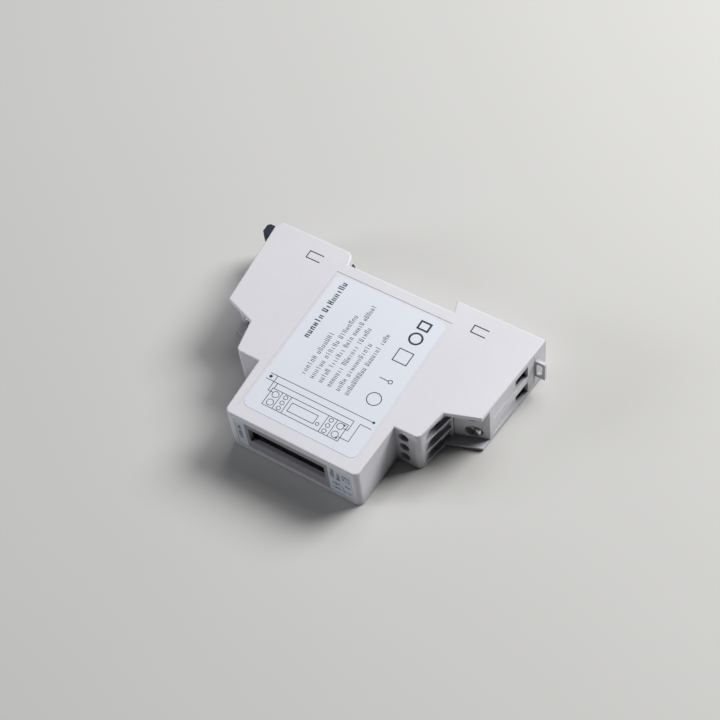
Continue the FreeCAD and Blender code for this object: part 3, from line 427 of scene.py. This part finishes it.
class Ink:
    """Printed shapes on a plane, each a thin closed solid, gathered in one mesh. Sizes are in
    millimetres from the origin."""

    def __init__(self, origin, right, up, thick=0.012):
        self.origin, self.right, self.up = origin, Vector(right), Vector(up)
        self.thick = thick
        self.normal = self.right.cross(self.up)
        self.mesh = bmesh.new()

    def vertex(self, point, height):
        """New corner at a point of the plane and a height above it."""
        place = self.right * point[0] + self.up * point[1] + self.normal * height
        return self.mesh.verts.new(self.origin + place * MM)

    def ribbon(self, left, right, closed):
        """Closed solid between two rows of points."""
        low, high = 0.001, self.thick
        rows = [[self.vertex(point, height) for point in side]
                for side in (left, right) for height in (low, high)]
        left_low, left_high, right_low, right_high = rows
        count = len(left)
        for index in range(count if closed else count - 1):
            after = (index + 1) % count
            for first, second in ((left_high, right_high), (right_high, right_low),
                                  (right_low, left_low), (left_low, left_high)):
                self.mesh.faces.new((first[index], second[index], second[after],
                                     first[after]))
        if not closed:
            for index in (0, count - 1):
                self.mesh.faces.new((left_high[index], left_low[index],
                                     right_low[index], right_high[index]))

    def stroke(self, points, width, closed=False):
        """Line of even width with mitred corners."""
        points = [Vector(point) for point in points]
        count = len(points)
        left, right = [], []
        for index, point in enumerate(points):
            before = points[index - 1] if closed or index else None
            after = points[(index + 1) % count] if closed or index < count - 1 else None
            steps = [(b - a).normalized() for a, b in ((before, point), (point, after))
                     if a is not None and b is not None]
            sides = [Vector((-step.y, step.x)) for step in steps]
            middle = sum(sides, Vector((0.0, 0.0))).normalized()
            reach = width / 2 / max(0.3, middle.dot(sides[0]))
            left.append(point + middle * reach)
            right.append(point - middle * reach)
        self.ribbon(left, right, closed)

    def box(self, x_low, y_low, x_high, y_high, width):
        """Outline of a rectangle."""
        self.stroke([(x_low, y_low), (x_high, y_low), (x_high, y_high), (x_low, y_high)],
                    width, closed=True)

    def ring(self, x, y, radius, width, steps=28):
        """Circle drawn with a line of even width."""
        self.stroke([(x + radius * math.cos(2 * math.pi * step / steps),
                      y + radius * math.sin(2 * math.pi * step / steps))
                     for step in range(steps)], width, closed=True)

    def dot(self, x, y, radius):
        """Small filled disc, drawn as one thick ring."""
        self.ring(x, y, radius * 0.55, radius * 0.9, 14)

    def writing(self, start, along, rise, letters, advance, height, width, seed):
        """Stands in for a printed line: rows of plain upright ticks, one or two a letter."""
        source = random.Random(seed)
        along, rise, place = Vector(along), Vector(rise), Vector(start)
        for count in letters:
            for _ in range(count):
                tall = height * source.choice((0.72, 0.72, 1.0))
                ticks = (0.2, 0.66) if source.random() < 0.72 else (0.42,)
                for tick in ticks:
                    foot = place + along * advance * tick
                    self.stroke([foot, foot + rise * tall], width)
                    if len(ticks) == 2 and tick == ticks[0] and source.random() < 0.8:
                        level = foot + rise * tall * source.choice((0.12, 0.5, 0.88))
                        self.stroke([level, level + along * advance * 0.46], width * 0.8)
                place += along * advance
            place += along * advance * 0.7

    def finish(self, name, material, slot):
        """Turns all shapes so far into one piece on the meter's body."""
        bmesh.ops.recalc_face_normals(self.mesh, faces=self.mesh.faces)
        add_piece(name, mesh_from(name, self.mesh), material)


def print_side_label():
    """Heading, six lines, four plain marks and a wiring diagram on the side label."""
    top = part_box("side_label")[1][2]
    ink = Ink(Vector((MODULE.x, MODULE.y, top)), (1, 0, 0), (0, 1, 0))
    reading, rise = (0, 1), (-1, 0)
    ink.writing((-14.2, 31.7), reading, rise, (6, 8), 1.48, 1.95, 0.36, 3)
    lines = (((6, 7), 1.18), ((6, 6, 8), 1.14), ((5, 7, 4, 5, 6), 1.0), ((7, 7, 6), 1.05),
             ((4, 11), 1.15), ((10, 7, 4), 1.03))
    for row, (letters, advance) in enumerate(lines):
        foot = -8.3 + 2.87 * row
        ink.writing((foot, 20.7), reading, rise, letters, advance, 1.6, 0.17, 11 + row)

    # Plain marks below the lines: ring, pin, square, and a bold ring and square.
    ink.ring(13.0, 23.4, 2.1, 0.26, 40)
    ink.stroke([(10.6, 30.3), (13.5, 30.3)], 0.24)
    ink.ring(14.1, 30.3, 0.6, 0.24)
    ink.box(10.6, 37.0, 15.1, 41.4, 0.3)
    ink.ring(12.9, 46.2, 1.9, 0.6, 40)
    ink.box(11.3, 49.7, 14.5, 52.4, 0.6)
    draw_wiring(ink)
    ink.finish("side_label_print", INK, "label")


def draw_wiring(ink):
    """Two supply wires over an outline of the meter with its terminals and display."""
    thin = 0.19
    wires = (
        ((-17.0, 16.8), (17.3, 16.8)),
        ((-17.4, 14.7), (12.0, 14.6), (12.0, 11.2), (10.7, 11.2)),
        ((-14.7, 16.7), (-14.6, 11.6), (-12.9, 11.6)),
        ((-13.4, 14.6), (-13.4, 12.9)),
        ((17.5, 14.6), (14.0, 14.6), (14.0, 8.3), (10.7, 8.3)),
    )
    for wire in wires:
        ink.stroke(wire, thin)
    ink.box(-13.7, 7.0, 11.3, 12.8, thin)
    for x in (-10.35, -7.35, 4.95, 7.85):
        ink.stroke([(x, 7.1), (x, 12.7)], thin)
    ink.box(-6.2, 8.4, 2.4, 11.3, thin)
    ink.ring(3.5, 8.9, 0.5, thin, 18)
    for x, places, radius in ((-11.9, (11.3, 8.5), 1.0), (-8.8, (11.8, 9.9, 8.0), 0.62),
                              (6.3, (11.8, 9.9, 8.0), 0.62), (9.5, (11.4, 8.5), 1.0)):
        for y in places:
            ink.ring(x, y, radius, thin, 22)
    ink.dot(-16.4, 15.8, 0.5)
    ink.dot(17.0, 16.8, 0.4)
    ink.dot(10.4, 12.2, 0.3)
    ink.dot(10.4, 7.7, 0.3)


def film_ink(**options):
    """Ink on the front film, with x along the nose and y up."""
    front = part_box("front_film")[0][1]
    return Ink(Vector((MODULE.x, front, 0.0)), (1, 0, 0), (0, 0, 1), **options)


def print_front_film():
    """Small upright line on the left of the film, and a block of print on its right."""
    ink = film_ink()
    ink.writing((-17.0, 6.0), (0, 1), (-1, 0), (7,), 1.0, 1.3, 0.26, 31)
    for foot, letters in ((13.9, (5,)), (15.7, (4,))):
        ink.writing((foot, 9.6), (0, 1), (-1, 0), letters, 1.05, 1.3, 0.28, int(foot * 10))
    for x, z, letters in ((16.5, 12.6, (3,)), (16.5, 11.0, (3,)), (12.9, 7.0, (3,)),
                          (17.2, 7.6, (2,)), (16.3, 4.4, (3,)), (12.6, 4.4, (3,))):
        ink.writing((x, z), (1, 0), (0, 1), letters, 0.9, 1.0, 0.22, int(x * z))
    ink.ring(15.2, 6.0, 1.25, 0.14)
    ink.finish("front_film_print", INK, "film")


def tint_window_panel():
    """Grey panel printed around the display window, thinner than the print over it."""
    ink = film_ink(thick=0.006)
    left, right, low, high = -14.65, 10.85, 6.45, 13.25
    panel_left, panel_right, panel_low, panel_high = -15.7, 11.9, 2.7, 15.15
    for x_low, z_low, x_high, z_high in (
            (panel_left, panel_low, panel_right, low),
            (panel_left, high, panel_right, panel_high),
            (panel_left, low, left, high), (right, low, panel_right, high)):
        middle = (z_low + z_high) / 2
        ink.stroke([(x_low, middle), (x_high, middle)], z_high - z_low)
    ink.finish("front_film_panel", PANEL, "film")


def make_segments():
    """Unlit seven-segment digits behind the display's lens, with sizes in millimetres."""
    low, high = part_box("display_glass")
    ink = Ink(Vector((0, low[1], 0)), (1, 0, 0), (0, 0, 1))
    middle_z = (low[2] + high[2]) / 2 / MM
    middle_x = (low[0] + high[0]) / 2 / MM
    tall, wide, pitch, bar = 5.4, 2.5, 3.55, 0.42
    digits, gap = 6, bar * 0.8
    for place in range(digits):
        left = middle_x + (place - digits // 2) * pitch + 0.4
        for z in (-1, 0, 1):
            level = middle_z + z * tall / 2
            ink.stroke([(left + gap, level), (left + wide - gap, level)], bar)
        for x in (left, left + wide):
            for foot in (-tall / 2, 0):
                ink.stroke([(x, middle_z + foot + gap),
                            (x, middle_z + foot + tall / 2 - gap)], bar)
        ink.dot(left + wide + 0.55, middle_z - tall / 2, 0.3)
    ink.finish("display_segments", SEGMENT, "display_glass")


# ---------------------------------------------------------------- screws and spring

# A CAD screw of the kind, then head's height, shank's radius and thread's pitch in millimetres.
SCREW_KINDS = {
    "main": ("neutral_screw_right", 2.0, 1.95, 0.7),
    "aux": ("aux_screw_1", 0.8, 1.2, 0.45),
}
# Radians by which each screw was left turned.
SCREW_TURNS = (0.4, 1.3, 2.2, 0.9, 2.7)
HEAD_STEPS = 40
# Degrees by which two faces of a screw must bend for their edge to stay sharp.
SHARP_BEND = 35


def around(radius, height, step, steps):
    """Point on a circle about Z."""
    angle = 2 * math.pi * step / steps
    return radius * math.cos(angle), radius * math.sin(angle), height


def revolve(builder, profile, steps):
    """Closed solid of revolution about Z through (radius, height) pairs from axis to axis."""
    rows = []
    for radius, height in profile:
        if radius < 1e-9:
            rows.append([builder.verts.new((0, 0, height))] * steps)
            continue
        rows.append([builder.verts.new(around(radius, height, step, steps))
                     for step in range(steps)])
    for lower, upper in zip(rows, rows[1:]):
        for step in range(steps):
            after = (step + 1) % steps
            corners = dict.fromkeys((lower[step], lower[after], upper[after], upper[step]))
            builder.faces.new(tuple(corners))
    bmesh.ops.recalc_face_normals(builder, faces=builder.faces)


def thread(builder, radius, depth, pitch, top, bottom, steps=28, per_turn=7):
    """Threaded shank about Z from top down to bottom, flat at its upper end, closed."""
    levels = int(round((top - bottom) / pitch * per_turn))
    rows = []
    for level in range(levels + 1):
        height = top + (bottom - top) * level / levels
        fade = min(1.0, (levels - level) / per_turn)
        row = []
        for step in range(steps):
            phase = (height / pitch + step / steps) % 1.0
            crest = abs(2 * phase - 1)
            size = (radius - depth) + depth * min(1.0, max(0.0, crest * 1.5 - 0.25)) * fade
            row.append(builder.verts.new(around(size, height, step, steps)))
        rows.append(row)
    for lower, upper in zip(rows, rows[1:]):
        for step in range(steps):
            after = (step + 1) % steps
            builder.faces.new((lower[step], lower[after], upper[after], upper[step]))
    for row in (rows[0], rows[-1]):
        builder.faces.new(row)
    bmesh.ops.recalc_face_normals(builder, faces=builder.faces)


def cut_recess(piece, radius):
    """Cuts a screwdriver's slot and shorter cross slot into the head by a boolean."""
    deep, half = radius * 0.45, radius * 0.17
    cutter = bmesh.new()
    for long_x, long_y in ((radius + 1, half), (half * 0.9, radius * 0.64)):
        box = bmesh.ops.create_cube(cutter, size=2.0)["verts"]
        for vertex in box:
            vertex.co = Vector((vertex.co.x * long_x, vertex.co.y * long_y,
                                vertex.co.z * deep)) * MM
    knife = bpy.data.objects.new("knife", mesh_from("knife", cutter))
    bpy.context.scene.collection.objects.link(knife)
    boolean = piece.modifiers.new("recess", "BOOLEAN")
    boolean.operation = "DIFFERENCE"
    boolean.solver = "EXACT"
    boolean.use_self = True
    boolean.object = knife
    bpy.context.view_layer.update()
    cut = bpy.data.meshes.new_from_object(
        piece.evaluated_get(bpy.context.evaluated_depsgraph_get()))
    piece.modifiers.remove(boolean)
    bpy.data.objects.remove(knife)
    return cut


def make_screw_mesh(kind):
    """Screw about Z with its head's top at the origin: turned head, recess and thread."""
    sample, head_tall, shank_radius, pitch = SCREW_KINDS[kind]
    name = kind + "_screw"
    low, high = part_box(sample)
    length = (high[1] - low[1]) / MM
    head_radius = (high[0] - low[0]) / MM / 2
    head = bmesh.new()
    rim = head_radius * 0.09
    revolve(head, [(0, 0), (head_radius - 2.2 * rim, 0), (head_radius - 0.8 * rim, -0.45 * rim),
                   (head_radius - 0.2 * rim, -1.2 * rim), (head_radius, -2.2 * rim),
                   (head_radius, -head_tall + 0.08), (head_radius - 0.08, -head_tall),
                   (0, -head_tall)], HEAD_STEPS)
    head.transform(Matrix.Scale(MM, 4))
    blank = bpy.data.objects.new(name + "_blank", mesh_from(name + "_blank", head))
    bpy.context.scene.collection.objects.link(blank)
    cut = cut_recess(blank, head_radius)
    bpy.data.objects.remove(blank)
    whole = bmesh.new()
    whole.from_mesh(cut)
    shank = bmesh.new()
    thread(shank, shank_radius, shank_radius * 0.16, pitch, -head_tall, -length)
    shank.transform(Matrix.Scale(MM, 4))
    whole.from_mesh(mesh_from(name + "_shank", shank))
    return mesh_from(name, whole)


def make_screws():
    """Turned screws in place of the plain CAD ones, each riding on its own body."""
    meshes = {kind: make_screw_mesh(kind) for kind in SCREW_KINDS}
    upright = Matrix.Rotation(math.radians(90), 4, "X")
    for index, name in enumerate(sorted(n for n in NODES if "_screw_" in n)):
        low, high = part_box(name)
        place = Vector(((low[0] + high[0]) / 2, low[1], (low[2] + high[2]) / 2))
        mesh = meshes["aux" if name.startswith("aux") else "main"].copy()
        spin = Matrix.Rotation(SCREW_TURNS[index % len(SCREW_TURNS)], 4, "Z")
        mesh.transform(Matrix.Translation(place) @ upright @ spin)
        piece = add_piece(name + "_turned", mesh, MATERIALS["screw_steel"],
                          name)
        smooth_by_angle(piece, SHARP_BEND)
        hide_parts(name)


def smooth_by_angle(piece, degrees):
    """Smooth faces with sharp edges wherever the mesh bends by more than the angle."""
    builder = bmesh.new()
    builder.from_mesh(piece.data)
    for face in builder.faces:
        face.smooth = True
    for edge in builder.edges:
        bends = len(edge.link_faces) == 2 and edge.calc_face_angle(0.0) > math.radians(degrees)
        edge.smooth = not bends
    builder.to_mesh(piece.data)
    builder.free()


def make_spring():
    """Coiled wire in place of the plain tube, with the wire's radius in millimetres."""
    low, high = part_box("latch_spring")
    wire = 0.19
    radius = (high[2] - low[2]) / MM / 2 - wire
    middle = Vector((0, (low[1] + high[1]) / 2, (low[2] + high[2]) / 2))
    turns, steps = 7, 16
    start, end = low[0] / MM + wire, high[0] / MM - wire
    curve = bpy.data.curves.new("latch_spring_coil", "CURVE")
    curve.dimensions = "3D"
    curve.bevel_depth = wire * MM
    curve.bevel_resolution = 3
    spline = curve.splines.new("POLY")
    spline.points.add(turns * steps)
    for index, point in enumerate(spline.points):
        angle = 2 * math.pi * index / steps
        along = start + (end - start) * index / (turns * steps)
        point.co = (along * MM, middle.y + radius * MM * math.cos(angle),
                    middle.z + radius * MM * math.sin(angle), 1.0)
    piece = bpy.data.objects.new("latch_spring_coil", curve)
    bpy.context.scene.collection.objects.link(piece)
    curve.materials.append(MATERIALS["plated_steel"])
    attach(piece, "meter")
    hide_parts("latch_spring")


bpy.context.scene.view_settings.view_transform = "Standard"
make_camera()
make_stage()
dress_nodes()
print_side_label()
print_front_film()
tint_window_panel()
make_segments()
make_screws()
make_spring()
